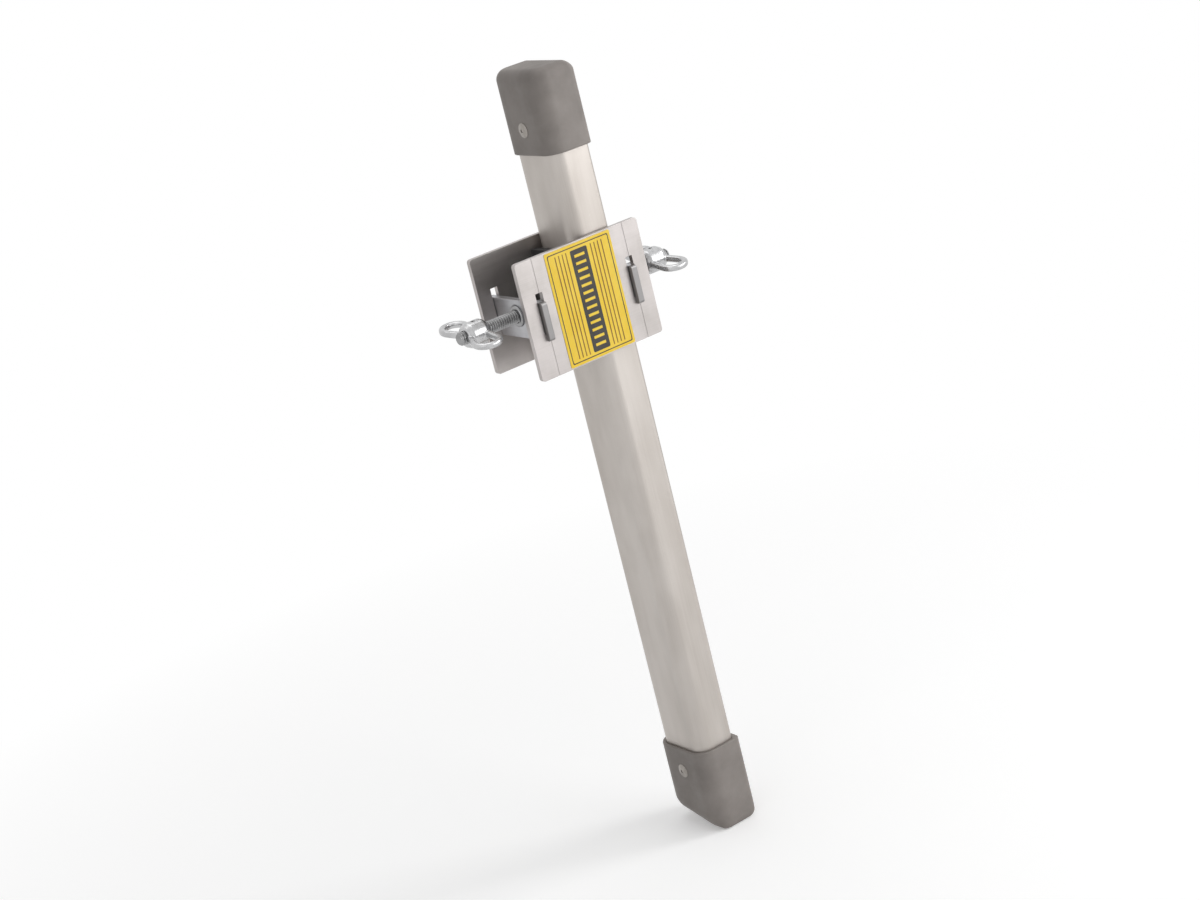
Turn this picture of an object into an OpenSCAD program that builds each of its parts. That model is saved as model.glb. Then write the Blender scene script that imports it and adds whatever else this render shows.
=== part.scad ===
// Ladder leveller: a sliding leg held in a two-screw plate clamp.
// Origin: centre of the clamp's free passage, at mid height of the plates.
// X runs across the clamp towards the leg, -Y is the front, +Z is up the leg.

/* [Leg rail] */
// Width of the channel section, web to lips
rail_w = 32; // [26:1:44]
// Depth of the channel section, front to back
rail_d = 52; // [46:1:70]
// Wall of the extrusion
rail_wall = 2.2; // [1.6:0.1:3]
// Outer radius of the two web corners
rail_r = 11; // [6:0.5:12]
// Outer radius of the two lip corners
lip_r = 3; // [2.6:0.1:5]
// Length of each lip, measured from the outside of its flange
lip_w = 9; // [6:0.5:11]
// Height of the rail's upper end above the clamp's middle
rail_up = 163; // [120:1:260]
// Depth of the rail's lower end below the clamp's middle
rail_down = 416; // [300:1:560]

/* [Foot boot] */
// Wall of the boot and of the cap
boot_wall = 3; // [2:0.25:5]
// Material beyond the lips on the boot's open side
boot_lip = 4.5; // [3:0.25:8]
// Length of rail that stands in the boot
boot_grip = 45; // [38:1:60]
// Thickness of the sole at its thin, rear edge
sole_rear = 12; // [8:0.5:20]
// Slope of the sole, lower at the front
sole_angle = 11.5; // [6:0.5:16]
// Leg of the bevel along the sole's two side edges
sole_bevel = 7; // [3:0.5:7.5]
// Number of tread grooves across the sole
tread_count = 5; // [3:1:7]
// Width of a tread groove
tread_w = 3; // [2:0.25:4]
// Depth of a tread groove
tread_h = 2; // [1:0.25:4]
// Height of the sill below the boot's window
window_sill = 5; // [2:0.5:10]
// Height of the band above the boot's window
window_band = 7; // [4:0.5:12]

/* [Top cap] */
// Length of rail that stands in the cap
cap_grip = 57; // [40:1:60]
// Thickness of the cap's roof
cap_roof = 5; // [4:0.5:9]
// Wall of the cap over the lips
cap_lip = 2; // [1.5:0.25:4]
// Radius of the cap's top edges
cap_round = 8; // [4:0.5:9]

/* [Rivets] */
// Shank diameter
rivet_d = 5; // [4:0.25:6]
// Head diameter
rivet_head_d = 11; // [9:0.5:13]
// Height of the domed head
rivet_head_h = 1.6; // [1:0.1:1.8]
// Diameter of the set tail inside the rail
rivet_tail_d = 8.5; // [7:0.25:9]
// Thickness of the set tail
rivet_tail_h = 1.5; // [1:0.1:2.5]
// Distance of a rivet from the rim of its boot or cap
rivet_from_rim = 19; // [14:0.5:24]

/* [Clamp plates] */
// Height of the two plates
plate_h = 88; // [70:1:110]
// Thickness of the two plates
plate_t = 4; // [3:0.25:6]
// Distance from a slot's centre line to the plate's side
plate_margin = 14.25; // [10:0.25:22]
// Corner radius of the plates
plate_r = 2.5; // [2:0.5:8]
// Width of the pressed line through the slots
crease_w = 1.6; // [1:0.1:2.5]
// Depth of the pressed line
crease_h = 0.4; // [0.2:0.1:0.8]
// Width of the gap between the leg and the free passage
web_gap = 5; // [4:0.25:8]

/* [Side bars] */
// Thickness of a bar
bar_t = 5; // [4:0.25:7]
// Height of a bar over its hooks
bar_h = 29; // [28.5:0.5:34]
// Depth of a hook below the bar's neck
hook_h = 5; // [3:0.25:5.5]
// Length that a hook stands in front of its plate
nose_len = 4; // [3:0.25:7]
// Radius of the noses' outer corners
nose_r = 2; // [1:0.25:2.5]

/* [Screws] */
// Outside diameter of the thread
screw_d = 10; // [9:0.5:11]
// Bare length of screw outside a side bar, up to the wing
screw_free = 29; // [22:1:40]
// Wall of the threaded bush
bush_wall = 3; // [2.5:0.25:3.5]
// Thickness of the bush's hexagonal flange
flange_t = 3; // [2:0.25:5]
// Length that the bush stands out of its bar
bush_out = 2; // [1:0.25:4]
// Width of the flange around the bush, at its corners
flange_rim = 4; // [3:0.25:6]
// Length of screw that stands out of the wing's hub
screw_proud = 5; // [2:0.5:10]
// Bevel on the ends of turned pieces
end_bevel = 0.8; // [0.4:0.1:1]

/* [Wings] */
// Width over the two wings
wing_span = 64; // [60:1:80]
// Outer radius of a wing's loop at its tip
ear_r = 11.5; // [11:0.5:14]
// Outer radius of a wing's loop in the middle of the hub
ear_root_r = 8; // [7:0.25:8.5]
// Lean of the wings away from the clamp
wing_lean = 10; // [0:1:25]
// Turn of the wings about their screws
wing_turn = 8; // [-45:1:45]
// Diameter of the straight runs of a wing's loop
ear_bar = 5; // [4:0.25:6]
// Step from the runs down to the thinner arc round the tip
ear_step = 0.2; // [0.1:0.05:0.4]
// Length of the hub
hub_len = 18; // [16:0.5:22]
// Wall of the hub
hub_wall = 4.5; // [3:0.25:6]
// Wall of the hub at its two ends
hub_end_wall = 2.4; // [1.5:0.1:2.8]
// Length over which the hub tapers at each end
hub_taper = 3.5; // [2:0.25:5]
// Diameter of the cross pin through hub and screw
pin_d = 3; // [2:0.25:4]

/* [Pads] */
// Thickness of the rubber facing
facing_t = 2.5; // [1.5:0.25:4]
// Thickness of the pad's disc
pad_t = 4.5; // [3:0.25:5]
// Length of the boss behind the disc
pad_boss = 4.5; // [4.5:0.25:6]
// Room between the pad and the lips
pad_room = 4; // [2:0.25:6]
// Length of the round tip that the pad swivels on
tip_len = 3; // [2.5:0.1:3.2]
// Thickness of the retaining clip
clip_t = 1.2; // [0.8:0.1:1.4]
// Width of the clip's ring outside the tip
clip_ring = 2.5; // [2:0.1:3]
// Width of the lip that holds the clip in
clip_lip = 0.9; // [0.5:0.1:1.2]
// Thickness of that lip
clip_cover = 1.4; // [1:0.1:1.6]
// Wall of the boss around the clip
boss_wall = 2.5; // [1.5:0.1:3]
// Step from the thread down to the tip
tip_step = 0.5; // [0.2:0.1:1]
// Depth of the groove behind the tip
neck_depth = 1.25; // [0.8:0.05:1.5]

/* [Spacer] */
// Height of the spacer beside the leg
spacer_h = 70; // [50:1:80]
// Shank diameter of the spacer's screws
spacer_screw_d = 3; // [2.5:0.1:3.2]
// Length of thread in the spacer
spacer_screw_len = 10; // [6:1:16]
// Distance between the spacer's screws
spacer_screw_gap = 44; // [30:1:46]

/* [Label] */
// Width of the label
label_w = 58.5; // [40:0.5:66]
// Bare margin of the plate above and below the label
label_margin = 1; // [0.5:0.25:12]
// Thickness of the label
label_t = 0.4; // [0.3:0.05:1]

/* [Clearances] */
// Rail to each plate
plate_gap = 1.5; // [0.8:0.1:2.5]
// Sliding faces of the rail and what it passes
slide_gap = 0.3; // [0.2:0.05:0.4]
// Rail in its boot and cap
boot_gap = 0.2; // [0.1:0.05:0.4]
// Lips of the rail to the bush's flange
side_gap = 0.75; // [0.5:0.05:2]
// Bar in its slot, each side
slot_side = 0.5; // [0.3:0.05:1]
// Height of the slot beyond the bar's own
slot_play = 1.5; // [1:0.1:3]
// Plate in the notch behind a hook, each side
hook_gap = 0.15; // [0.1:0.05:0.4]
// Turning fit of a screw in its bush
thread_gap = 0.2; // [0.15:0.05:0.3]
// Pieces pushed into holes
push_gap = 0.05; // [0.02:0.01:0.1]
// Tip of the screw in its pad
tip_gap = 0.2; // [0.15:0.05:0.3]
// Retaining clip to the screw's shoulder
shank_gap = 0.4; // [0.2:0.05:0.8]
// Front edge of the spacer to the front plate
spacer_gap = 1; // [0.5:0.1:2]

/* [Hidden] */
$fn = 64;
// Length that a cut runs past a face
past = 1;

// Leg and clamp, seen along the leg
leg_x = rail_w / 2 + web_gap;
cage_x = rail_w / 2 + web_gap / 2;
inner_y = rail_d / 2 + plate_gap;
outer_y = inner_y + plate_t;
mouth_w = rail_d - 2 * lip_w;

// Side bars, bushes and slots, measured outwards from the clamp's middle
bar_in = web_gap / 2 + rail_w + side_gap + flange_t;
bar_mid = bar_in + bar_t / 2;
bar_out = bar_in + bar_t;
plate_w = 2 * (bar_mid + plate_margin);
neck_h = bar_h - hook_h;
slot_h = bar_h + slot_play;
slot_w = bar_t + 2 * slot_side;
slot_low = -neck_h / 2;
bar_low = slot_low - hook_h;
bush_d = screw_d + 2 * bush_wall;
flange_d = bush_d + 2 * flange_rim;

// Pads and screws, measured outwards from the clamp's middle
pad_face = web_gap / 2 + rail_wall + slide_gap;
pad_in = pad_face + facing_t;
boss_in = pad_in + pad_t;
pad_out = boss_in + pad_boss;
pad_d = mouth_w - 2 * pad_room;
tip_d = screw_d - 2 * tip_step;
neck_d = tip_d - 2 * neck_depth;
clip_d = tip_d + 2 * clip_ring;
boss_d = clip_d + 2 * boss_wall;
clip_out = pad_out - clip_cover;
clip_in = clip_out - clip_t;
tip_out = clip_in - tip_gap;
tip_in = tip_out - tip_len;
shank_in = clip_out + shank_gap;
wing_in = bar_out + screw_free;
hub_d = screw_d + 2 * hub_wall;
hub_mid = wing_in + hub_len / 2;
ear_len = (wing_span / 2 - ear_r) / cos(wing_lean);
ear_arc = ear_bar - 2 * ear_step;
ear_tip_mid = ear_r - ear_arc / 2;
ear_root_mid = ear_root_r - ear_bar / 2;
ear_slope = asin((ear_tip_mid - ear_root_mid) / ear_len);
screw_end = wing_in + hub_len + screw_proud;

// Boot and cap
boot_x = leg_x - boot_wall;
boot_d = rail_d + 2 * boot_wall + 2 * boot_gap;
boot_w = boot_wall + rail_w + boot_lip;
boot_r = rail_r + boot_wall;
boot_rim = -rail_down + boot_grip;
sole_front = -rail_down - sole_rear - boot_d * tan(sole_angle);
cap_w = boot_wall + rail_w + cap_lip;
cap_rim = rail_up - cap_grip;
cap_top = rail_up + cap_roof;
foot_rivet_z = boot_rim - rivet_from_rim;
cap_rivet_z = cap_rim + rivet_from_rim;

// Spacer and label
label_h = plate_h - 2 * label_margin;
spacer_t = web_gap - 2 * slide_gap;
spacer_head_d = 2 * spacer_screw_d;
spacer_head_h = 0.7 * spacer_screw_d;

// Rectangle centred on the origin with four round corners
module round_rect(w, h, r) {
    square([w - 2 * r, h], center = true);
    square([w, h - 2 * r], center = true);
    for (x = [-1, 1], y = [-1, 1])
        translate([x * (w / 2 - r), y * (h / 2 - r)]) circle(r);
}

// Channel outline from x = 0: wide round corners at the web, small ones at the lips
module channel_outline(w, d, r_web, r_lip) {
    translate([r_web, -d / 2]) square([w - r_web - r_lip, d]);
    translate([0, r_web - d / 2]) square([r_web, d - 2 * r_web]);
    translate([w - r_lip - past / 2, r_lip - d / 2]) square([r_lip + past / 2, d - 2 * r_lip]);
    for (y = [-1, 1]) {
        translate([r_web, y * (d / 2 - r_web)]) circle(r_web);
        translate([w - r_lip, y * (d / 2 - r_lip)]) circle(r_lip);
    }
}

// Outline of the rail, grown by a clearance
module rail_outline(grow) {
    translate([leg_x - grow, 0])
        channel_outline(rail_w + 2 * grow, rail_d + 2 * grow, rail_r + grow, lip_r + grow);
}

// Upright panel with two round top corners, centred across, standing on z = 0
module arch_panel(w, h, r) {
    translate([-w / 2, 0]) square([w, h - r]);
    translate([r - w / 2, 0]) square([w - 2 * r, h]);
    for (x = [-1, 1]) translate([x * (w / 2 - r), h - r]) circle(r);
}

// Puts a piece drawn outwards along +X on the left (-1) or right (1) of the clamp
module on_side(side) {
    translate([cage_x, 0, 0])
        if (side < 0) mirror([1, 0, 0]) children();
        else children();
}

// Cylinder along +X between two distances from the clamp's middle
module along(from, to, d) {
    translate([from, 0, 0]) rotate([0, 90, 0]) cylinder(d = d, h = to - from);
}

// Turned piece on the X axis, from points of radius and distance
module turned(profile) {
    rotate([0, 90, 0]) rotate_extrude() polygon(profile);
}

// Slotted plate in the X-Z plane, its outer face at y = 0 and its inner face at y = plate_t
module clamp_plate() {
    difference() {
        translate([cage_x, plate_t, 0]) rotate([90, 0, 0])
            linear_extrude(plate_t) round_rect(plate_w, plate_h, plate_r);
        for (side = [-1, 1]) translate([cage_x + side * bar_mid, 0, 0]) {
            translate([-slot_w / 2, -past, slot_low]) cube([slot_w, plate_t + 2 * past, slot_h]);
            translate([-crease_w / 2, -past, -plate_h])
                cube([crease_w, crease_h + past, 2 * plate_h]);
        }
    }
}

module rear_plate() {
    color("gainsboro") difference() {
        translate([0, outer_y, 0]) mirror([0, 1, 0]) clamp_plate();
        for (z = [-1, 1]) translate([cage_x, outer_y + past, z * spacer_screw_gap / 2])
            rotate([90, 0, 0]) cylinder(d = spacer_screw_d + 2 * thread_gap, h = plate_t + 2 * past);
    }
}

module front_plate() {
    color("gainsboro") translate([0, -outer_y, 0]) clamp_plate();
}

module label() {
    color("gold") translate([cage_x, -outer_y, 0]) rotate([90, 0, 0])
        linear_extrude(label_t) round_rect(label_w, label_h, plate_r / 2);
}

// Flat bar with a hook at each end that drops over the slot's lower edge
module side_bar(side) {
    reach = outer_y + nose_len;
    color("silver") on_side(side) difference() {
        translate([bar_in, 0, bar_low + bar_h / 2]) rotate([90, 0, 90])
            linear_extrude(bar_t) round_rect(2 * reach, bar_h, nose_r);
        for (y = [-1, 1])
            translate([bar_in - past, y * (inner_y + outer_y) / 2 - plate_t / 2 - hook_gap, bar_low - past])
                cube([bar_t + 2 * past, plate_t + 2 * hook_gap, hook_h + past]);
        along(bar_in - past, bar_out + past, bush_d + 2 * push_gap);
    }
}

module left_side_bar() { side_bar(-1); }
module right_side_bar() { side_bar(1); }

// Threaded bush: its hexagonal flange bears on the inside of the bar
module screw_bush(side) {
    bush_end = bar_out + bush_out;
    color("darkgray") on_side(side) difference() {
        union() {
            translate([bar_in - flange_t, 0, 0]) rotate([0, 90, 0])
                cylinder(d = flange_d, h = flange_t, $fn = 6);
            turned([
                [0, bar_in - flange_t],
                [bush_d / 2, bar_in - flange_t],
                [bush_d / 2, bush_end - end_bevel],
                [bush_d / 2 - end_bevel, bush_end],
                [0, bush_end]
            ]);
        }
        along(bar_in - flange_t - past, bush_end + past, screw_d + 2 * thread_gap);
    }
}

module left_screw_bush() { screw_bush(-1); }
module right_screw_bush() { screw_bush(1); }

// Bar between the leg and the free passage, screwed edge on to the rear plate
module rail_spacer() {
    depth = 2 * inner_y - spacer_gap;
    color("dimgray") difference() {
        translate([cage_x - spacer_t / 2, inner_y - depth / 2, 0]) rotate([90, 0, 90])
            linear_extrude(spacer_t) round_rect(depth, spacer_h, nose_r);
        for (z = [-1, 1]) translate([cage_x, inner_y + past, z * spacer_screw_gap / 2])
            rotate([90, 0, 0])
                cylinder(d = spacer_screw_d + 2 * push_gap, h = spacer_screw_len + 2 * past);
    }
}

module spacer_screws() {
    color("silver") for (z = [-1, 1])
        translate([cage_x, outer_y, z * spacer_screw_gap / 2]) rotate([90, 0, 0]) {
            cylinder(d = spacer_screw_d, h = plate_t + spacer_screw_len);
            translate([0, 0, -spacer_head_h]) cylinder(d = spacer_head_d, h = spacer_head_h);
        }
}

// Hole for a rivet through the web side of a boot or of the rail
module rivet_hole(z) {
    translate([boot_x - past, 0, z]) rotate([0, 90, 0])
        cylinder(d = rivet_d + 2 * push_gap, h = boot_wall + rail_wall + 2 * past);
}

module leg_rail() {
    color("lightgray") difference() {
        translate([0, 0, -rail_down]) linear_extrude(rail_up + rail_down) difference() {
            rail_outline(0);
            rail_outline(-rail_wall);
            translate([leg_x + rail_w - rail_wall - lip_r, -mouth_w / 2])
                square([rail_wall + lip_r + past, mouth_w]);
        }
        rivet_hole(foot_rivet_z);
        rivet_hole(cap_rivet_z);
    }
}

// Places a cut on the sloped sole: local z = 0 is the sole, y runs back from its front edge
module on_sole() {
    translate([boot_x, -boot_d / 2, sole_front]) rotate([sole_angle, 0, 0]) children();
}

// Cup on the rail's lower end, windowed on the open side, with a sloped and grooved sole
module foot_boot() {
    sole_len = boot_d / cos(sole_angle);
    block = 2 * boot_d;
    color("gray") difference() {
        translate([boot_x, 0, sole_front]) linear_extrude(boot_rim - sole_front)
            channel_outline(boot_w, boot_d, boot_r, boot_lip);
        translate([0, 0, -rail_down]) linear_extrude(boot_grip + past) rail_outline(boot_gap);
        translate([leg_x + rail_w / 2, -mouth_w / 2, window_sill - rail_down])
            cube([rail_w, mouth_w, boot_grip - window_sill - window_band]);
        on_sole() {
            translate([-block / 2, -block / 2, -block]) cube([2 * block, 2 * block, block]);
            for (i = [1:tread_count])
                translate([-past, i * sole_len / (tread_count + 1) - tread_w / 2, -past])
                    cube([boot_w + 2 * past, tread_w, tread_h + past]);
            for (x = [0, boot_w]) translate([x, sole_len / 2, 0]) rotate([0, 45, 0])
                cube([sole_bevel * sqrt(2), block, sole_bevel * sqrt(2)], center = true);
        }
        rivet_hole(foot_rivet_z);
    }
}

// Closed cap on the rail's upper end with rounded top edges
module top_cap() {
    height = cap_top - cap_rim;
    color("gray") difference() {
        intersection() {
            translate([boot_x, 0, cap_rim]) linear_extrude(height)
                channel_outline(cap_w, boot_d, boot_r, lip_r + cap_lip);
            translate([boot_x + cap_w / 2, boot_d, cap_rim]) rotate([90, 0, 0])
                linear_extrude(2 * boot_d) arch_panel(cap_w, height, cap_round);
            translate([boot_x - past, 0, cap_rim]) rotate([90, 0, 90])
                linear_extrude(cap_w + 2 * past) arch_panel(boot_d, height, cap_round);
        }
        translate([0, 0, cap_rim - past]) linear_extrude(cap_grip + past) rail_outline(boot_gap);
        rivet_hole(cap_rivet_z);
    }
}

// Domed rivet through a boot wall and the rail's web, set flat inside the rail
module rivet(z) {
    dome_r = (rivet_head_d * rivet_head_d / 4 + rivet_head_h * rivet_head_h) / (2 * rivet_head_h);
    web_in = leg_x + rail_wall;
    color("silver") translate([0, 0, z]) {
        translate([boot_x, 0, 0]) rotate([0, 90, 0])
            cylinder(d = rivet_d, h = web_in - boot_x + rivet_tail_h);
        translate([web_in, 0, 0]) rotate([0, 90, 0]) cylinder(d = rivet_tail_d, h = rivet_tail_h);
        intersection() {
            translate([boot_x - rivet_head_h + dome_r, 0, 0]) sphere(dome_r);
            translate([boot_x - rivet_head_h, 0, 0]) rotate([0, 90, 0])
                cylinder(d = rivet_head_d, h = rivet_head_h);
        }
    }
}

module foot_rivet() { rivet(foot_rivet_z); }
module cap_rivet() { rivet(cap_rivet_z); }

// Swivel pad: disc and boss with a stepped socket that holds the screw's tip and its clip
module pad(side) {
    color("darkgray") on_side(side) turned([
        [0, pad_in],
        [pad_d / 2, pad_in],
        [pad_d / 2, boss_in - end_bevel],
        [pad_d / 2 - end_bevel, boss_in],
        [boss_d / 2, boss_in],
        [boss_d / 2, pad_out - end_bevel],
        [boss_d / 2 - end_bevel, pad_out],
        [clip_d / 2 - clip_lip, pad_out],
        [clip_d / 2 - clip_lip, clip_out],
        [clip_d / 2 + push_gap, clip_out],
        [clip_d / 2 + push_gap, clip_in],
        [tip_d / 2 + tip_gap, clip_in],
        [tip_d / 2 + tip_gap, tip_in - tip_gap],
        [0, tip_in - tip_gap]
    ]);
}

module pad_facing(side) {
    color("dimgray") on_side(side) turned([
        [0, pad_face],
        [pad_d / 2 - end_bevel, pad_face],
        [pad_d / 2, pad_face + end_bevel],
        [pad_d / 2, pad_in],
        [0, pad_in]
    ]);
}

// Split ring behind the tip's shoulder, open upwards
module pad_clip(side) {
    color("silver") on_side(side) difference() {
        along(clip_in, clip_out, clip_d);
        along(clip_in - past, clip_out + past, neck_d + 2 * tip_gap);
        translate([clip_in - past, -neck_d / 4, 0]) cube([clip_t + 2 * past, neck_d / 2, clip_d]);
    }
}

// Stud with a necked tip, cross drilled for the wing's pin
module screw(side) {
    color("silver") on_side(side) difference() {
        turned([
            [0, tip_in],
            [tip_d / 2 - end_bevel, tip_in],
            [tip_d / 2, tip_in + end_bevel],
            [tip_d / 2, tip_out],
            [neck_d / 2, tip_out],
            [neck_d / 2, shank_in],
            [screw_d / 2 - end_bevel, shank_in],
            [screw_d / 2, shank_in + end_bevel],
            [screw_d / 2, screw_end - end_bevel],
            [screw_d / 2 - end_bevel, screw_end],
            [0, screw_end]
        ]);
        cross_hole();
    }
}

// Hole for the pin through hub and screw
module cross_hole() {
    rotate([wing_turn, 0, 0]) translate([hub_mid, 0, -hub_d])
        cylinder(d = pin_d + 2 * push_gap, h = 2 * hub_d);
}

// Loop of round bar along +Y: two runs that rise out of the hub, and an arc that ends inside them
module wing_loop() {
    lap = asin(past / ear_tip_mid);
    for (x = [0, 1]) mirror([x, 0, 0]) rotate(-ear_slope)
        translate([ear_root_mid, 0, 0]) rotate([-90, 0, 0])
            cylinder(d = ear_bar, h = ear_len * cos(ear_slope));
    translate([0, ear_len, 0]) rotate(-ear_slope - lap)
        rotate_extrude(angle = 180 + 2 * ear_slope + 2 * lap)
            translate([ear_tip_mid, 0]) circle(d = ear_arc);
}

// Tapered hub with two open loops, spread front to back and leaning outwards
module wing(side) {
    end_r = screw_d / 2 + hub_end_wall;
    color("whitesmoke") on_side(side) difference() {
        union() {
            turned([
                [0, wing_in],
                [end_r, wing_in],
                [hub_d / 2, wing_in + hub_taper],
                [hub_d / 2, wing_in + hub_len - hub_taper],
                [end_r, wing_in + hub_len],
                [0, wing_in + hub_len]
            ]);
            rotate([wing_turn, 0, 0]) for (y = [0, 1]) mirror([0, y, 0])
                translate([hub_mid, 0, 0]) rotate(-wing_lean) wing_loop();
        }
        along(wing_in - past, screw_end + past, screw_d + 2 * push_gap);
        cross_hole();
    }
}

module wing_pin(side) {
    color("gray") on_side(side) rotate([wing_turn, 0, 0])
        translate([hub_mid, 0, -hub_d / 2]) cylinder(d = pin_d, h = hub_d);
}

module left_pad() { pad(-1); }
module left_pad_facing() { pad_facing(-1); }
module left_pad_clip() { pad_clip(-1); }
module left_screw() { screw(-1); }
module left_wing() { wing(-1); }
module left_wing_pin() { wing_pin(-1); }
module right_pad() { pad(1); }
module right_pad_facing() { pad_facing(1); }
module right_pad_clip() { pad_clip(1); }
module right_screw() { screw(1); }
module right_wing() { wing(1); }
module right_wing_pin() { wing_pin(1); }

rear_plate();
left_side_bar();
right_side_bar();
left_screw_bush();
right_screw_bush();
rail_spacer();
spacer_screws();
front_plate();
label();
leg_rail();
foot_boot();
foot_rivet();
top_cap();
cap_rivet();
left_pad();
left_pad_facing();
left_pad_clip();
left_screw();
left_wing();
left_wing_pin();
right_pad();
right_pad_facing();
right_pad_clip();
right_screw();
right_wing();
right_wing_pin();
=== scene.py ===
import math

import bmesh
import bpy
from mathutils import Matrix, Quaternion, Vector


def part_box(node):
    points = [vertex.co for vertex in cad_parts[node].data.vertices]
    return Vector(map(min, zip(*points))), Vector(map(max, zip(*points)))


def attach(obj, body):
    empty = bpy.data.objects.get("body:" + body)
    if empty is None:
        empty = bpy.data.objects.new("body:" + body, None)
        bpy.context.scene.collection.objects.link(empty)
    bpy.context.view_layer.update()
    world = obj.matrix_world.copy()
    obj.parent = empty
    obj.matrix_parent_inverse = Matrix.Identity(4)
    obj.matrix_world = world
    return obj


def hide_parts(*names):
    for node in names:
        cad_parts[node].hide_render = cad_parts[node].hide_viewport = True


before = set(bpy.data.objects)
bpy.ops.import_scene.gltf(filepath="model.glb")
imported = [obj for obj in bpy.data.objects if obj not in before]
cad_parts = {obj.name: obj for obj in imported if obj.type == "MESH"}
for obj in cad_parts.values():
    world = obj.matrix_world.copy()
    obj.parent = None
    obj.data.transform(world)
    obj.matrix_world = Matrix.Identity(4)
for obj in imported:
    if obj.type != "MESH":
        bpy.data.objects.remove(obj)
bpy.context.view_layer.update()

mm = 0.001
scene = bpy.context.scene
print("frame loaded:", len(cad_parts), "nodes")


# places read from the frame, in metres
plateLow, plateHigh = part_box("front_plate")
cageX = (plateLow.x + plateHigh.x) / 2
railLow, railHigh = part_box("leg_rail")
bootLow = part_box("foot_boot")[0]
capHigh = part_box("top_cap")[1]
labelLow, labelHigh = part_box("label")
sideOf = {"left": -1, "right": 1}


def outward(node, side):
    # nearest and furthest distance of a node from the clamp's middle, along its side
    low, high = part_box(node)
    return sorted(((low.x - cageX) * side, (high.x - cageX) * side))


def sidePlace(side, turn=0.0):
    # maps a distance from the clamp's middle and a turned y and z into the frame
    c, s = math.cos(turn), math.sin(turn)
    return lambda out, y, z: Vector((cageX + side * out, y * c - z * s, y * s + z * c))


# mesh tools
meshSettings = {"weld": 0.002 * mm, "tiny": 0.0001 * mm, "cadWeld": 0.004 * mm,
                "cadFlat": math.radians(0.6), "cadSharp": math.radians(28),
                "drillSides": 64, "drillSharp": 40, "relax": 0.5}


def meshObject(name, mesh, material):
    piece = bpy.data.objects.new(name, mesh)
    scene.collection.objects.link(piece)
    mesh.materials.clear()
    mesh.materials.append(material)
    return piece


def bakedMesh(piece):
    # modifiers become plain geometry
    evaluated = piece.evaluated_get(bpy.context.evaluated_depsgraph_get())
    mesh = bpy.data.meshes.new_from_object(evaluated)
    piece.modifiers.clear()
    piece.data = mesh
    return piece


def smoothFaces(piece):
    for face in piece.data.polygons:
        face.use_smooth = True


def shaded(piece, sharpAngle):
    # round stretches shade smoothly and flat faces stay flat
    smoothFaces(piece)
    piece.data.set_sharp_from_angle(angle=math.radians(sharpAngle))
    flat = piece.modifiers.new("flatFaces", "WEIGHTED_NORMAL")
    flat.keep_sharp = True
    return bakedMesh(piece)


def finishMesh(name, bm, material, sharpAngle=34):
    bmesh.ops.remove_doubles(bm, verts=bm.verts, dist=meshSettings["weld"])
    bmesh.ops.recalc_face_normals(bm, faces=bm.faces)
    mesh = bpy.data.meshes.new(name)
    bm.to_mesh(mesh)
    bm.free()
    return shaded(meshObject(name, mesh, material), sharpAngle)


def drilled(piece, holes):
    # round holes, each given by its middle, axis, radius and length
    cutters = []
    for middle, axis, radius, length in holes:
        turn = Vector((0, 0, 1)).rotation_difference(axis).to_matrix().to_4x4()
        bm = bmesh.new()
        bmesh.ops.create_cone(bm, cap_ends=True, segments=meshSettings["drillSides"], radius1=radius,
                              radius2=radius, depth=length, matrix=Matrix.Translation(middle) @ turn)
        cutters.append(finishMesh("cutter", bm, piece.data.materials[0]))
        cut = piece.modifiers.new("hole", "BOOLEAN")
        cut.operation = "DIFFERENCE"
        cut.solver = "MANIFOLD"
        cut.object = cutters[-1]
    bakedMesh(piece)
    for cutter in cutters:
        bpy.data.objects.remove(cutter)
    return shaded(piece, meshSettings["drillSharp"])


def skinned(piece, voxel, smooth):
    # one even skin over the whole piece, relaxed so that its edges turn softly
    remesh = piece.modifiers.new("skin", "REMESH")
    remesh.mode = "VOXEL"
    remesh.voxel_size = voxel
    relax = piece.modifiers.new("relax", "SMOOTH")
    relax.factor = meshSettings["relax"]
    relax.iterations = smooth
    material = piece.data.materials[0]
    bakedMesh(piece)
    piece.data.materials.clear()
    piece.data.materials.append(material)
    smoothFaces(piece)
    return piece


def softened(name, node, material, width, segments=3):
    # a merged copy of a CAD node with its sharp edges broken
    bm = bmesh.new()
    bm.from_mesh(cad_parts[node].data)
    bmesh.ops.remove_doubles(bm, verts=bm.verts, dist=meshSettings["cadWeld"])
    bmesh.ops.dissolve_limit(bm, angle_limit=meshSettings["cadFlat"], verts=bm.verts, edges=bm.edges)
    sharp = []
    for edge in bm.edges:
        if len(edge.link_faces) == 2 and edge.calc_face_angle(0) > meshSettings["cadSharp"]:
            sharp.append(edge)
    bmesh.ops.bevel(bm, geom=sharp, offset=width, offset_type="OFFSET", segments=segments,
                    profile=0.5, affect="EDGES", clamp_overlap=True)
    return finishMesh(name, bm, material)


def dress(piece, body, slot, *nodes):
    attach(piece, body)
    if nodes:
        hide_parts(*nodes)
    return piece


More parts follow.
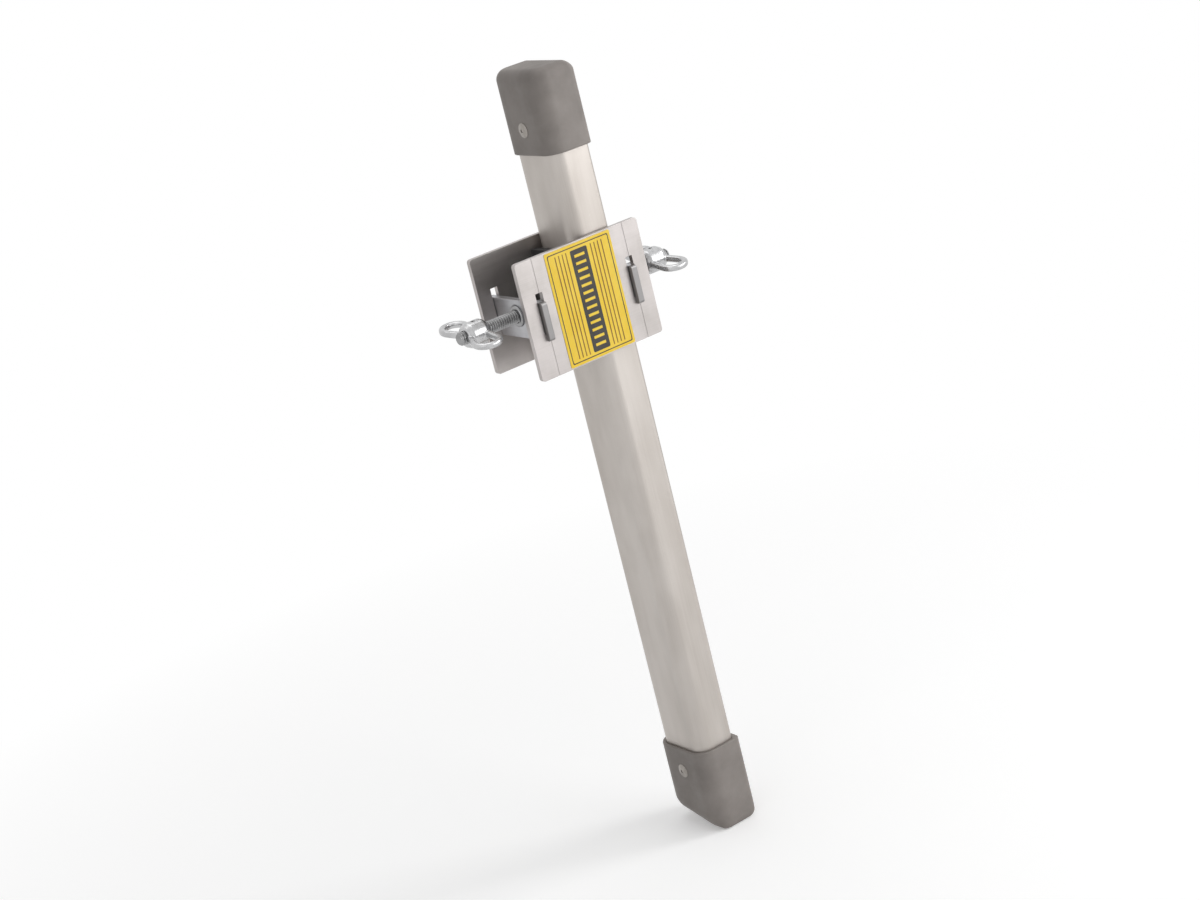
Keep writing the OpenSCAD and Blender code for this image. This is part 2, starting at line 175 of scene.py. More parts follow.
def roundedPath(corners, steps, closed=True):
    # corners are (x, y, radius); round ones become arcs
    path = []
    count = len(corners)
    for i, (x, y, radius) in enumerate(corners):
        here = Vector((x, y))
        if radius <= 0 or (not closed and i in (0, count - 1)):
            path.append(here)
            continue
        back = (Vector(corners[i - 1][:2]) - here).normalized()
        ahead = (Vector(corners[(i + 1) % count][:2]) - here).normalized()
        half = back.angle(ahead) / 2
        centre = here + (back + ahead).normalized() * (radius / math.sin(half))
        start = here + back * (radius / math.tan(half)) - centre
        end = here + ahead * (radius / math.tan(half)) - centre
        first = math.atan2(start.y, start.x)
        turn = (math.atan2(end.y, end.x) - first + math.pi) % (2 * math.pi) - math.pi
        for k in range(steps + 1):
            angle = first + turn * k / steps
            path.append(centre + radius * Vector((math.cos(angle), math.sin(angle))))
    return path


def bridge(bm, first, second):
    # a band of faces between two closed rings of points
    for k in range(len(first)):
        n = (k + 1) % len(first)
        bm.faces.new((first[k], first[n], second[n], second[k]))


def lathe(bm, profile, place, steps):
    # turns (distance, radius) points about the axis; place maps them into the frame
    rings = []
    for s, r in profile:
        if r < meshSettings["tiny"]:
            rings.append([bm.verts.new(place(s, 0, 0))])
            continue
        ring = []
        for k in range(steps):
            angle = 2 * math.pi * k / steps
            ring.append(bm.verts.new(place(s, r * math.cos(angle), r * math.sin(angle))))
        rings.append(ring)
    for a, b in zip(rings, rings[1:]):
        for k in range(steps):
            quad = (a[k % len(a)], a[(k + 1) % len(a)], b[(k + 1) % len(b)], b[k % len(b)])
            corners = list(dict.fromkeys(quad))  # a point on the axis counts once
            if len(corners) > 2:
                bm.faces.new(corners)


# material tools
def newMaterial(name):
    material = bpy.data.materials.new(name)
    material.use_nodes = True
    tree = material.node_tree
    tree.nodes.clear()
    output = tree.nodes.new("ShaderNodeOutputMaterial")
    shader = tree.nodes.new("ShaderNodeBsdfPrincipled")
    tree.links.new(shader.outputs["BSDF"], output.inputs["Surface"])
    return material, tree, shader


def setSocket(tree, socket, value):
    if isinstance(value, bpy.types.NodeSocket):
        tree.links.new(value, socket)
    else:
        socket.default_value = value


def addNode(tree, kind, values=None, **settings):
    made = tree.nodes.new(kind)
    for key, value in settings.items():
        setattr(made, key, value)
    for key, value in (values or {}).items():
        setSocket(tree, made.inputs[key], value)
    return made


def objectNoise(tree, stretch, detail, roughness=0.55):
    # noise on object coordinates; stretch is in features per metre along x, y and z
    coords = addNode(tree, "ShaderNodeTexCoord")
    mapping = addNode(tree, "ShaderNodeMapping", {"Vector": coords.outputs["Object"], "Scale": stretch})
    noise = addNode(tree, "ShaderNodeTexNoise", {
        "Vector": mapping.outputs["Vector"], "Scale": 1.0, "Detail": detail, "Roughness": roughness})
    return noise.outputs["Fac"]


def remap(tree, value, low, high, toLow=0.0, toHigh=1.0):
    made = addNode(tree, "ShaderNodeMapRange", {
        "Value": value, "From Min": low, "From Max": high, "To Min": toLow, "To Max": toHigh})
    return made.outputs["Result"]


mixSockets = {"factor": 0, "first": 6, "second": 7, "result": 2}  # places of the colour sockets


def blendColour(tree, factor, first, second):
    made = addNode(tree, "ShaderNodeMix", {mixSockets["factor"]: factor}, data_type="RGBA")
    for key, colour in (("first", first), ("second", second)):
        whole = (*colour, 1.0) if isinstance(colour, tuple) else colour
        setSocket(tree, made.inputs[mixSockets[key]], whole)
    return made.outputs[mixSockets["result"]]


def arithmetic(tree, operation, first, second):
    made = addNode(tree, "ShaderNodeMath", {0: first, 1: second}, operation=operation)
    return made.outputs["Value"]


def edgeMask(tree, radius, low, high):
    # bright where the surface turns within the radius
    bevel = addNode(tree, "ShaderNodeBevel", {"Radius": radius}, samples=6)
    geometry = addNode(tree, "ShaderNodeNewGeometry")
    dot = addNode(tree, "ShaderNodeVectorMath", {0: bevel.outputs["Normal"], 1: geometry.outputs["Normal"]},
                  operation="DOT_PRODUCT")
    return remap(tree, dot.outputs["Value"], high, low)


def addBump(tree, shader, height, strength, distance):
    bump = addNode(tree, "ShaderNodeBump", {"Height": height, "Strength": strength, "Distance": distance})
    tree.links.new(bump.outputs["Normal"], shader.inputs["Normal"])


def pastPlates(tree, share, fade):
    # the share of painted shade, where a bar's ends stand out of the plates into the slots
    coords = addNode(tree, "ShaderNodeTexCoord")
    axes = addNode(tree, "ShaderNodeSeparateXYZ", {"Vector": coords.outputs["Object"]})
    reach = addNode(tree, "ShaderNodeMath", {0: axes.outputs["Y"]}, operation="ABSOLUTE")
    return remap(tree, reach.outputs["Value"], -plateLow.y, fade - plateLow.y, 0.0, share)


# metals: drawn streaks, dull blotches, scuffs and worn edges, and on the bars painted shade at the ends past
# the plates
metalSettings = {
    "railAluminium": {
        "colour": (0.50, 0.465, 0.435), "dull": (0.415, 0.38, 0.35), "worn": (0.62, 0.59, 0.56),
        "roughness": (0.36, 0.52), "streaks": (1400, 1400, 9), "blotch": (26, 26, 9),
        "streakBump": 0.05, "scuffs": (160, 160, 700), "scuffsFrom": 0.66,
    },
    "clampPlate": {
        "colour": (0.45, 0.42, 0.41), "dull": (0.385, 0.36, 0.345), "worn": (0.56, 0.53, 0.52),
        "roughness": (0.34, 0.48), "streaks": (16, 1500, 1500), "blotch": (40, 40, 30),
        "streakBump": 0.05, "scuffs": (900, 200, 220), "scuffsFrom": 0.66,
    },
    "barSteel": {
        "colour": (0.46, 0.46, 0.475), "dull": (0.36, 0.36, 0.375), "worn": (0.60, 0.60, 0.61),
        "roughness": (0.30, 0.46), "streaks": (1200, 30, 1200), "blotch": (60, 60, 60),
        "streakBump": 0.05, "scuffs": (300, 700, 300), "scuffsFrom": 0.68,
        # painted shade: the bars' ends past the plates, in the slots, are darkened
        "shadedEnds": (0.21, 0.20, 0.195), "endShadeShare": 0.8, "endShadeFade": 0.5 * mm,
    },
    "zincSteel": {
        "colour": (0.34, 0.34, 0.345), "dull": (0.24, 0.24, 0.24), "worn": (0.50, 0.50, 0.50),
        "roughness": (0.24, 0.40), "streaks": (700, 700, 700), "blotch": (120, 120, 120),
        "streakBump": 0.04, "scuffs": (400, 400, 400), "scuffsFrom": 0.68,
    },
    "brightZinc": {
        "colour": (0.52, 0.52, 0.525), "dull": (0.42, 0.42, 0.425), "worn": (0.64, 0.64, 0.64),
        "roughness": (0.20, 0.34), "streaks": (420, 420, 420), "blotch": (90, 90, 90),
        "streakBump": 0.05, "scuffs": (300, 300, 300), "scuffsFrom": 0.68,
    },
    "rivetMetal": {
        "colour": (0.32, 0.295, 0.27), "dull": (0.25, 0.23, 0.21), "worn": (0.46, 0.435, 0.41),
        "roughness": (0.28, 0.44), "streaks": (800, 800, 800), "blotch": (160, 160, 160),
        "streakBump": 0.04, "scuffs": (500, 500, 500), "scuffsFrom": 0.68,
    },
}
metalWear = {"blotch": (0.38, 0.66), "streaks": (0.30, 0.75, 0.0, 0.30), "scuffBand": 0.06,
             "scuffShare": 0.45, "scuffHeight": -0.6, "edgeRadius": 0.9 * mm, "edgeTurn": (0.80, 0.985),
             "edgeShare": 0.55, "streakRough": (0.25, 0.75), "blotchRough": (0.3, 0.7, -0.04, 0.06),
             "bumpDistance": 0.6 * mm}


def metalFinish(name):
    choice, wear = metalSettings[name], metalWear
    material, tree, shader = newMaterial(name)
    streaks = objectNoise(tree, choice["streaks"], detail=5.0)
    blotch = objectNoise(tree, choice["blotch"], detail=3.0)
    scuffs = objectNoise(tree, choice["scuffs"], detail=6.0, roughness=0.7)
    dulled = blendColour(tree, remap(tree, blotch, *wear["blotch"]), choice["colour"], choice["dull"])
    drawn = blendColour(tree, remap(tree, streaks, *wear["streaks"]), dulled, choice["worn"])
    scuffsTo = choice["scuffsFrom"] + wear["scuffBand"]
    scuffMask = remap(tree, scuffs, choice["scuffsFrom"], scuffsTo, 0.0, wear["scuffShare"])
    scuffed = blendColour(tree, scuffMask, drawn, choice["worn"])
    edges = edgeMask(tree, wear["edgeRadius"], *wear["edgeTurn"])
    worn = blendColour(tree, arithmetic(tree, "MULTIPLY", edges, wear["edgeShare"]), scuffed, choice["worn"])
    # painted shade: darker ends where the bars stand out of the plates, into the slots
    if "shadedEnds" in choice:
        ends = pastPlates(tree, choice["endShadeShare"], choice["endShadeFade"])
        worn = blendColour(tree, ends, worn, choice["shadedEnds"])
    tree.links.new(worn, shader.inputs["Base Color"])
    streakRough = remap(tree, streaks, *wear["streakRough"], *choice["roughness"])
    rough = arithmetic(tree, "ADD", streakRough, remap(tree, blotch, *wear["blotchRough"]))
    tree.links.new(rough, shader.inputs["Roughness"])
    shader.inputs["Metallic"].default_value = 1.0
    height = arithmetic(tree, "ADD", streaks, arithmetic(tree, "MULTIPLY", scuffMask, wear["scuffHeight"]))
    addBump(tree, shader, height, choice["streakBump"], wear["bumpDistance"])
    return material


# moulded pieces: fine grain, soft mottling and chalky, rubbed edges
mouldedSettings = {
    "greyRubber": {
        "colour": (0.275, 0.248, 0.230), "shade": (0.215, 0.194, 0.180), "chalk": (0.40, 0.375, 0.35),
        "roughness": (0.50, 0.66), "grain": (1500, 1500, 1500), "mottle": (34, 34, 34), "bump": 0.10,
    },
    "blackRubber": {
        "colour": (0.022, 0.022, 0.022), "shade": (0.014, 0.014, 0.014), "chalk": (0.09, 0.088, 0.085),
        "roughness": (0.58, 0.72), "grain": (1800, 1800, 1800), "mottle": (60, 60, 60), "bump": 0.14,
    },
    "blackNylon": {
        "colour": (0.030, 0.030, 0.031), "shade": (0.020, 0.020, 0.021), "chalk": (0.12, 0.12, 0.12),
        "roughness": (0.40, 0.54), "grain": (1300, 1300, 1300), "mottle": (50, 50, 50), "bump": 0.08,
    },
}
mouldedWear = {"mottle": (0.35, 0.68), "rubFiner": 8, "edgeRadius": 1.6 * mm, "edgeTurn": (0.75, 0.985),
               "edgeRub": (0.40, 0.62, 0.1, 0.7), "marks": (0.66, 0.74, 0.0, 0.35), "rough": (0.3, 0.7),
               "specular": 0.42, "mottleHeight": 1.5, "bumpDistance": 0.4 * mm}


def mouldedFinish(name):
    choice, wear = mouldedSettings[name], mouldedWear
    material, tree, shader = newMaterial(name)
    grain = objectNoise(tree, choice["grain"], detail=2.0)
    mottle = objectNoise(tree, choice["mottle"], detail=5.0, roughness=0.6)
    finer = tuple(wear["rubFiner"] * v for v in choice["mottle"])
    rubbed = objectNoise(tree, finer, detail=6.0, roughness=0.7)
    base = blendColour(tree, remap(tree, mottle, *wear["mottle"]), choice["colour"], choice["shade"])
    edges = edgeMask(tree, wear["edgeRadius"], *wear["edgeTurn"])
    patches = arithmetic(tree, "MULTIPLY", edges, remap(tree, rubbed, *wear["edgeRub"]))
    marks = remap(tree, rubbed, *wear["marks"])
    chalked = blendColour(tree, arithmetic(tree, "MAXIMUM", patches, marks), base, choice["chalk"])
    tree.links.new(chalked, shader.inputs["Base Color"])
    rough = remap(tree, mottle, *wear["rough"], *choice["roughness"])
    tree.links.new(rough, shader.inputs["Roughness"])
    shader.inputs["Specular IOR Level"].default_value = wear["specular"]
    height = arithmetic(tree, "ADD", grain, arithmetic(tree, "MULTIPLY", mottle, wear["mottleHeight"]))
    addBump(tree, shader, height, choice["bump"], wear["bumpDistance"])
    return material


# films and inks: faded patches and small specks
filmSettings = {
    "yellowFilm": {"colour": (0.85, 0.57, 0.022), "faded": (0.88, 0.63, 0.06), "roughness": (0.28, 0.42)},
    "blackInk": {"colour": (0.018, 0.017, 0.015), "faded": (0.045, 0.042, 0.036), "roughness": (0.30, 0.44)},
    "brownInk": {"colour": (0.20, 0.085, 0.012), "faded": (0.30, 0.15, 0.02), "roughness": (0.30, 0.44)},
}
filmWear = {"fade": (60, 60, 45), "fadeRange": (0.40, 0.70), "specks": (900, 900, 900),
            "speckRange": (0.66, 0.72, 0.0, 0.8), "rough": (0.3, 0.7), "bump": 0.05, "bumpDistance": 1.0 * mm}


def filmFinish(name):
    choice, wear = filmSettings[name], filmWear
    material, tree, shader = newMaterial(name)
    fade = objectNoise(tree, wear["fade"], detail=4.0)
    specks = objectNoise(tree, wear["specks"], detail=3.0, roughness=0.7)
    rubbed = arithmetic(tree, "MAXIMUM", remap(tree, fade, *wear["fadeRange"]),
                        remap(tree, specks, *wear["speckRange"]))
    faded = blendColour(tree, rubbed, choice["colour"], choice["faded"])
    tree.links.new(faded, shader.inputs["Base Color"])
    rough = remap(tree, fade, *wear["rough"], *choice["roughness"])
    tree.links.new(rough, shader.inputs["Roughness"])
    addBump(tree, shader, fade, wear["bump"], wear["bumpDistance"])
    return material


materials = {name: metalFinish(name) for name in metalSettings}
materials.update({name: mouldedFinish(name) for name in mouldedSettings})
materials.update({name: filmFinish(name) for name in filmSettings})
print("materials made:", len(materials))


# leg rail: drawn C-channel, open on the right
railSettings = {"wall": 2.2 * mm, "webRound": 11 * mm, "lipRound": 3 * mm, "lip": 9 * mm,
                "tipRound": 0.9 * mm, "steps": 14, "rivetHole": 5.1 * mm}


def railSection():
    choice = railSettings
    wall = choice["wall"]
    x0, x1, y = railLow.x, railHigh.x, railHigh.y
    mouth = y - choice["lip"]
    web, lip, tip = choice["webRound"], choice["lipRound"], choice["tipRound"]
    outside = [(x1, -mouth, tip), (x1, -y, lip), (x0, -y, web), (x0, y, web), (x1, y, lip), (x1, mouth, tip)]
    x0, x1, y, web, lip = x0 + wall, x1 - wall, y - wall, web - wall, lip - wall
    inside = [(x1, mouth, tip), (x1, y, lip), (x0, y, web), (x0, -y, web), (x1, -y, lip), (x1, -mouth, tip)]
    return roundedPath(outside + inside, choice["steps"])


def makeRail():
    section = railSection()
    bm = bmesh.new()
    ends = [[bm.verts.new((p.x, p.y, z)) for p in section] for z in (railLow.z, railHigh.z)]
    bridge(bm, *ends)
    for ring in ends:
        bm.faces.new(ring)
    piece = finishMesh("legRail", bm, materials["railAluminium"])
    holes = []
    for node in ("foot_rivet", "cap_rivet"):
        low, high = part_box(node)
        middle = Vector((railLow.x, 0, (low.z + high.z) / 2))
        holes.append((middle, Vector((1, 0, 0)), railSettings["rivetHole"] / 2, 4 * railSettings["wall"]))
    return dress(drilled(piece, holes), "leg", "rail_aluminium", "leg_rail")


makeRail()
print("rail made")


# boot and cap: moulded cups with soft edges
bootSettings = {"edge": 0.9 * mm, "webRound": 14 * mm, "lipRound": 4.5 * mm, "toeRound": 6 * mm,
                "flankRound": 12 * mm, "soleAngle": math.radians(11.5), "voxel": 0.6 * mm, "smooth": 3}
capSettings = {"edge": 0.9 * mm, "webRound": 14 * mm, "lipRound": 5 * mm, "toeRound": 8 * mm,
               "flankRound": 8 * mm, "voxel": 0.6 * mm, "smooth": 5}


def insideCup(point, low, high, choice, height):
    # depth of a point inside a cup's outline, the way straight in, and the round of the end's edge there
    middle, half = (low + high) / 2, (high - low) / 2
    across, along = point.x - middle.x, point.y - middle.y
    flank, toe = half.x - abs(across), half.y - abs(along)
    share = toe * toe / max(flank * flank + toe * toe, mm * mm)
    radius = choice["toeRound"] + (choice["flankRound"] - choice["toeRound"]) * share
    corner = choice["webRound"] if across < 0 else choice["lipRound"]
    near = min(1.0, max(0.0, 1 - height / radius))
    corner += max(0.0, radius - corner) * near * near * (3 - 2 * near)  # wider towards the closed end
    over = Vector((corner - flank, corner - toe))
    if over.x > 0 and over.y > 0:
        depth, away = corner - over.length, over.normalized()
    elif over.x > over.y:
        depth, away = corner - over.x, Vector((1, 0))
    else:
        depth, away = corner - over.y, Vector((0, 1))
    inwards = Vector((-math.copysign(away.x, across), -math.copysign(away.y, along), 0))
    return depth, inwards, radius


def roundEnd(mesh, low, high, choice, start, axis):
    # points outside the round of the closed end's edge are drawn in to it
    for vertex in mesh.vertices:
        height = (vertex.co - start).dot(axis)
        depth, inwards, radius = insideCup(vertex.co, low, high, choice, height)
        down, out = radius - height, radius - depth
        reach = math.hypot(down, out)
        if down > 0 and out > 0 and reach > radius:
            share = 1 - radius / reach
            vertex.co += axis * (down * share) + inwards * (out * share)


def makeCup(name, node, choice, start, axis):
    low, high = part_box(node)
    piece = softened(name, node, materials["greyRubber"], choice["edge"])
    skinned(piece, choice["voxel"], choice["smooth"])
    roundEnd(piece.data, low, high, choice, start, axis)
    return dress(piece, "leg", "grey_rubber", node)


soleUp = Vector((0, -math.sin(bootSettings["soleAngle"]), math.cos(bootSettings["soleAngle"])))
footBoot = makeCup("footBoot", "foot_boot", bootSettings, Vector((0, bootLow.y, bootLow.z)), soleUp)
topCap = makeCup("topCap", "top_cap", capSettings, Vector((0, 0, capHigh.z)), Vector((0, 0, -1)))
soleZ = min(vertex.co.z for vertex in footBoot.data.vertices)
print("boot and cap made:", len(footBoot.data.polygons), "and", len(topCap.data.polygons), "faces")


# rivets: domed heads with the broken stem in the middle
rivetSettings = {"rim": 0.35 * mm, "sunk": 0.4 * mm, "dimple": 1.3 * mm, "dimpleDepth": 0.9 * mm,
                 "stem": 1.0 * mm, "stemDrop": 0.45 * mm, "draft": 0.92, "shank": 5 * mm, "lap": 0.2 * mm,
                 "tail": 4.25 * mm, "tailShoulder": 0.75, "tailTaper": 0.8, "domeSteps": 12, "around": 48}


def makeRivet(name, node):
    choice = rivetSettings
    low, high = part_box(node)
    centre = (low + high) / 2
    face = bootLow.x  # outside of the rubber, from which the distances are taken

    def place(s, y, z):
        return Vector((face - s, centre.y + y, centre.z + z))

    headRadius = (high.y - low.y) / 2
    dome = face - low.x - choice["rim"]
    head = [(-choice["sunk"], 0), (-choice["sunk"], headRadius)]
    for k in range(choice["domeSteps"] + 1):
        r = headRadius + (choice["dimple"] - headRadius) * k / choice["domeSteps"]
        head.append((choice["rim"] + dome * (1 - (r / headRadius) ** 2), r))
    top = head[-1][0]
    bottom, stemTop = top - choice["dimpleDepth"], top - choice["stemDrop"]
    head += [(bottom, choice["dimple"] * choice["draft"]), (bottom, choice["stem"]),
             (stemTop, choice["stem"] * choice["draft"]), (stemTop, 0)]
    shank, tail, lap = choice["shank"] / 2, choice["tail"], choice["lap"]
    tailStart, tailEnd = face - (railLow.x + railSettings["wall"]), face - high.x
    shoulder = tailStart + (tailEnd - tailStart) * choice["tailShoulder"]
    back = [(lap, 0), (lap, shank), (tailStart, shank), (tailStart, tail), (shoulder, tail),
            (tailEnd, tail * choice["tailTaper"]), (tailEnd, 0)]
    bm = bmesh.new()
    lathe(bm, head, place, choice["around"])
    lathe(bm, back, place, choice["around"])
    return dress(finishMesh(name, bm, materials["rivetMetal"], sharpAngle=30), "leg", "rivet_metal", node)


makeRivet("footRivet", "foot_rivet")
makeRivet("capRivet", "cap_rivet")
print("rivets made")


# clamp plates, side bars, bushes and spacer: broken edges
clampSettings = {"plateEdge": 0.6 * mm, "barEdge": 0.5 * mm, "bushEdge": 0.4 * mm, "spacerEdge": 0.5 * mm}


def makeClampPiece(name, node, body, finish, slot, edge):
    return dress(softened(name, node, materials[finish], clampSettings[edge]), body, slot, node)


makeClampPiece("frontPlate", "front_plate", "front", "clampPlate", "clamp_plate", "plateEdge")
makeClampPiece("rearPlate", "rear_plate", "cage", "clampPlate", "clamp_plate", "plateEdge")
makeClampPiece("railSpacer", "rail_spacer", "cage", "blackNylon", "black_nylon", "spacerEdge")
for sideName in sideOf:
    makeClampPiece(sideName + "SideBar", sideName + "_side_bar", "cage", "barSteel", "bar_steel", "barEdge")
    makeClampPiece(sideName + "ScrewBush", sideName + "_screw_bush", "cage", "zincSteel", "zinc_steel",
                   "bushEdge")
print("clamp made")


# geometry node tools
def nodeTree(name, inputs):
    tree = bpy.data.node_groups.new(name, "GeometryNodeTree")
    tree.is_modifier = True
    for label, kind in inputs:
        tree.interface.new_socket(name=label, in_out="INPUT", socket_type=kind)
    tree.interface.new_socket(name="Geometry", in_out="OUTPUT", socket_type="NodeSocketGeometry")
    start = tree.nodes.new("NodeGroupInput")
    end = tree.nodes.new("NodeGroupOutput")
    return tree, start, end


def endInCopies(tree, points, shape, finish, end):
    # copies of a shape on points, made real and given their finish
    copies = addNode(tree, "GeometryNodeInstanceOnPoints", {"Points": points, "Instance": shape})
    real = addNode(tree, "GeometryNodeRealizeInstances", {"Geometry": copies.outputs["Instances"]})
    painted = addNode(tree, "GeometryNodeSetMaterial", {
        "Geometry": real.outputs["Geometry"], "Material": finish})
    tree.links.new(painted.outputs["Geometry"], end.inputs["Geometry"])


def runTree(piece, tree, values):
    # inputs go in by identifier before the first evaluation
    modifier = piece.modifiers.new(tree.name, "NODES")
    modifier.node_group = tree
    for item in tree.interface.items_tree:
        if item.item_type == "SOCKET" and item.in_out == "INPUT" and item.name in values:
            modifier[item.identifier] = values[item.name]
    return bakedMesh(piece)


# spacer screws: one pan head, set out by a node tree
spacerScrewSettings = {"count": 2, "headHeight": 2.1 * mm, "headRadius": 3.0 * mm, "rim": 0.9 * mm,
                       "crown": 1.3, "crownSteps": 8, "socketRadius": 1.35 * mm, "socketDepth": 1.2 * mm,
                       "socketSides": 6, "shankRadius": 1.5 * mm, "tipTaper": 0.8, "tipLength": 0.6 * mm,
                       "around": 48}


def addSocket(bm, place, top):
    # a six-sided socket sunk into the flat of the crown
    choice = spacerScrewSettings
    sides, radius = choice["socketSides"], choice["socketRadius"]
    crown = [v for v in bm.verts if abs(v.co.y - top) < meshSettings["tiny"]]
    crown.sort(key=lambda v: math.atan2(v.co.z, v.co.x))
    rims = []
    for depth in (0, choice["socketDepth"]):
        rim = []
        for k in range(sides):
            angle = 2 * math.pi * k / sides
            rim.append(bm.verts.new(place(top - depth, radius * math.cos(angle), radius * math.sin(angle))))
        rims.append(rim)
    mouth, bottom = rims
    bridge(bm, mouth, bottom)
    bm.faces.new(bottom)
    share = len(crown) // sides
    for k in range(sides):
        span = [crown[(k * share + j) % len(crown)] for j in range(share + 1)]
        first = min(mouth, key=lambda v: (v.co - span[0].co).length)
        last = min(mouth, key=lambda v: (v.co - span[-1].co).length)
        bm.faces.new(span + [last, first])


def makeSpacerScrews():
    choice = spacerScrewSettings
    low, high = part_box("spacer_screws")
    tip, seat = low.y, high.y - choice["headHeight"]
    shoulder = seat + choice["rim"]
    head, shank = choice["headRadius"], choice["shankRadius"]
    flat = choice["socketRadius"] * choice["crown"]

    def place(s, x, z):
        return Vector((x, s, z))

    profile = [(tip, 0), (tip, shank * choice["tipTaper"]), (tip + choice["tipLength"], shank),
               (seat, shank), (seat, head), (shoulder, head)]
    for k in range(1, choice["crownSteps"] + 1):
        angle = math.pi / 2 * k / choice["crownSteps"]
        rise = (high.y - shoulder) * math.sin(angle)
        profile.append((shoulder + rise, flat + (head - flat) * math.cos(angle)))
    bm = bmesh.new()
    lathe(bm, profile, place, choice["around"])
    addSocket(bm, place, high.y)
    template = finishMesh("spacerScrewTemplate", bm, materials["zincSteel"])
    tree, start, end = nodeTree("spacerScrewRow", [
        ("Screw", "NodeSocketObject"), ("Count", "NodeSocketInt"), ("Place", "NodeSocketVector"),
        ("Spread", "NodeSocketVector"), ("Finish", "NodeSocketMaterial")])
    line = addNode(tree, "GeometryNodeMeshLine", {
        "Count": start.outputs["Count"], "Start Location": start.outputs["Place"],
        "Offset": start.outputs["Spread"]})
    shape = addNode(tree, "GeometryNodeObjectInfo", {"Object": start.outputs["Screw"]})
    endInCopies(tree, line.outputs["Mesh"], shape.outputs["Geometry"], start.outputs["Finish"], end)
    piece = meshObject("spacerScrews", bpy.data.meshes.new("spacerScrews"), materials["zincSteel"])
    spread = (high.z - low.z) - 2 * head
    runTree(piece, tree, {"Screw": template, "Count": choice["count"], "Place": (cageX, 0, -spread / 2),
                          "Spread": (0, 0, spread), "Finish": materials["zincSteel"]})
    bpy.data.objects.remove(template)
    return dress(piece, "cage", "zinc_steel", "spacer_screws")


makeSpacerScrews()
print("spacer screws made")


# screws: rolled thread with a necked tip
threadSettings = {"pitch": 2.0 * mm, "depth": 1.05 * mm, "crest": 1.35, "flank": 3.4, "root": 1.15,
                  "endChamfer": 1.4 * mm, "play": 0.02 * mm, "around": 56, "perTurn": 14,
                  "neck": 3.25 * mm, "neckLength": 1.8 * mm, "lap": 0.3 * mm, "tip": 4.5 * mm,
                  "tipLength": 3.0 * mm, "tipRounds": (0.5 * mm, 0.3 * mm), "tipSteps": 4, "tipAround": 48}


def threadRadius(s, angle, first, last, outer):
    choice = threadSettings
    phase = (s / choice["pitch"] - angle / (2 * math.pi)) % 1.0
    crest = min(1.0, max(0.0, choice["crest"] - abs(phase - 0.5) * choice["flank"]))
    root = choice["depth"] * choice["root"]
    taper = max(0.0, min(s - first, last - s) / choice["endChamfer"])
    return min(outer - choice["depth"] * (1 - crest), outer - root + root * taper)


def makeScrew(sideName):
    choice = threadSettings
    side = sideOf[sideName]
    node = sideName + "_screw"
    place = sidePlace(side)
    low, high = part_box(node)
    outer = (high.z - low.z) / 2 - choice["play"]
    first, last = outward(node, side)
    tipEnd = first + choice["tipLength"]
    shankStart = tipEnd + choice["neckLength"]
    rows = int((last - shankStart) / choice["pitch"] * choice["perTurn"])
    bm = bmesh.new()
    grid = []
    for j in range(rows + 1):
        s = shankStart + (last - shankStart) * j / rows
        ring = []
        for k in range(choice["around"]):
            angle = 2 * math.pi * k / choice["around"]
            r = threadRadius(s, angle, shankStart, last, outer)
            ring.append(bm.verts.new(place(s, r * math.cos(angle), -side * r * math.sin(angle))))
        grid.append(ring)
    for a, b in zip(grid, grid[1:]):
        bridge(bm, a, b)
    bm.faces.new(grid[0])
    bm.faces.new(grid[-1])
    neckEnd = shankStart + choice["lap"]
    outerRound, innerRound = choice["tipRounds"]
    tip = [(first, 0, 0), (first, choice["tip"], outerRound), (tipEnd, choice["tip"], innerRound),
           (tipEnd, choice["neck"], 0), (neckEnd, choice["neck"], 0), (neckEnd, 0, 0)]
    lathe(bm, roundedPath(tip, choice["tipSteps"], closed=False), place, choice["tipAround"])
    piece = finishMesh(sideName + "Screw", bm, materials["zincSteel"], sharpAngle=50)
    return dress(piece, sideName + "_spindle", "zinc_steel", node)


for sideName in sideOf:
    makeScrew(sideName)
print("screws made")


# wings: a hub and two open loops, cast in one
wingSettings = {"hubLength": 18 * mm, "hubRadius": 9.5 * mm, "hubRound": 1.6 * mm, "collarRadius": 7.4 * mm,
                "collarRound": 0.8 * mm, "collars": (3.5 * mm, 4 * mm), "hubSteps": 5, "hubAround": 64,
                "span": 64 * mm, "rootRound": 8 * mm, "tipRound": 11.5 * mm, "rootSteps": 24, "tipSteps": 48,
                "band": 5 * mm, "thick": (2.6 * mm, 2.4 * mm), "squareness": 0.7, "loopPoints": 120,
                "around": 20, "lean": math.radians(10), "turn": math.radians(8), "bore": 10.1 * mm,
                "pinHole": 3.1 * mm, "voxel": 0.42 * mm, "smooth": 7}


def loopPath():
    # middle line of a wing's loop: two arcs and their tangents, root at 0, tip along +y
    choice = wingSettings
    c, s = math.cos(choice["lean"]), math.sin(choice["lean"])
    length = (choice["span"] / 2 - choice["tipRound"]) / c
    root = choice["rootRound"] - choice["band"] / 2
    tip = choice["tipRound"] - choice["band"] / 2
    slope = math.asin((tip - root) / length)
    arcs = ((tip, length, -slope, math.pi + 2 * slope, choice["tipSteps"]),
            (root, 0, math.pi + slope, math.pi - 2 * slope, choice["rootSteps"]))
    path = []
    for radius, middle, first, turn, steps in arcs:
        for k in range(steps):
            angle = first + turn * k / (steps - 1)
            x, y = radius * math.cos(angle), middle + radius * math.sin(angle)
            path.append(Vector((x * c + y * s, y * c - x * s)))
    return path, length


